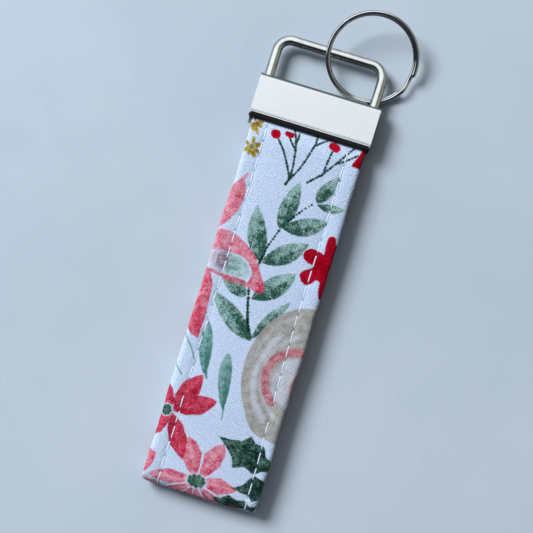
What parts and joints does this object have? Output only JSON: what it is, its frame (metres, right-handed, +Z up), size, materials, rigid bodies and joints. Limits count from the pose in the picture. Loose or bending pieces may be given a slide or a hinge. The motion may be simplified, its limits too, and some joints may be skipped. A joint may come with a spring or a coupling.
{
  "type": "wristlet key fob",
  "caption": "Wristlet key fob: a folded, topstitched fabric strap loop crimped in a lined metal clamp with a wire bail and a split ring.",
  "frame": {"origin": "a point on the underside of the strap, on the clamp's centre line, 40 mm from the clamp's mouth; the underside of the lying strap is z = 0", "axes": "+X across the strap, +Y along the strap towards the bail and ring, +Z up out of the strap's front face"},
  "size_m": [0.0381, 0.1312, 0.0085],
  "materials": {
    "clamp_metal": "satin nickel-plated sheet",
    "wire": "bright nickel-plated wire",
    "ring_wire": "bright nickel-plated flat wire",
    "liner": "smooth black strip",
    "printed_cloth": "brushed cotton with a printed floral pattern",
    "core_pad": "plain webbing",
    "thread": "white polyester thread"
  },
  "bodies": {
    "clamp": {"clamp_shell": "clamp_metal", "jaw_liner_front": "liner", "jaw_liner_back": "liner", "end_cover_back": "printed_cloth", "end_core_back": "core_pad", "end_cover_front": "printed_cloth", "end_core_front": "core_pad"},
    "bail": {"wire_bail": "wire"},
    "ring": {"split_ring": "ring_wire"},
    "back_near": {"cover_back_near": "printed_cloth", "core_back_near": "core_pad", "stitch_left_back_near": "thread", "stitch_right_back_near": "thread"},
    "back_far": {"cover_back_far": "printed_cloth", "core_back_far": "core_pad", "stitch_left_back_far": "thread", "stitch_right_back_far": "thread"},
    "front_far": {"cover_front_far": "printed_cloth", "core_front_far": "core_pad", "stitch_left_front_far": "thread", "stitch_right_front_far": "thread"},
    "front_near": {"cover_front_near": "printed_cloth", "core_front_near": "core_pad", "stitch_left_front_near": "thread", "stitch_right_front_near": "thread"}
  },
  "joints": [
    {"name": "bail_swing", "type": "hinge", "parent": "clamp", "child": "bail", "pos_m": [0, 0.04974, 0.003], "axis": [1, 0, 0], "range_deg": [-8, 18]},
    {"name": "ring_swing", "type": "hinge", "parent": "bail", "child": "ring", "pos_m": [0, 0.06225, 0.003], "axis": [1, 0, 0], "range_deg": [0, 130]},
    {"name": "loop_open", "type": "hinge", "parent": "clamp", "child": "back_near", "pos_m": [0, 0.04, 0.00175], "axis": [1, 0, 0], "range_deg": [0, 30]},
    {"name": "back_middle_bend", "type": "hinge", "parent": "back_near", "child": "back_far", "pos_m": [0, -0.00785, 0.0023], "axis": [1, 0, 0], "range_deg": [-60, 0]},
    {"name": "fold_open", "type": "hinge", "parent": "back_far", "child": "front_far", "pos_m": [0, -0.0557, 0.003], "axis": [1, 0, 0], "range_deg": [0, 60]},
    {"name": "front_middle_bend", "type": "hinge", "parent": "front_far", "child": "front_near", "pos_m": [0, -0.00785, 0.0037], "axis": [1, 0, 0], "range_deg": [-60, 0]}
  ],
  "couplings": [
    {"joint": "back_middle_bend", "follows": "loop_open", "ratio": -2},
    {"joint": "fold_open", "follows": "loop_open", "ratio": 2},
    {"joint": "front_middle_bend", "follows": "loop_open", "ratio": -2}
  ]
}
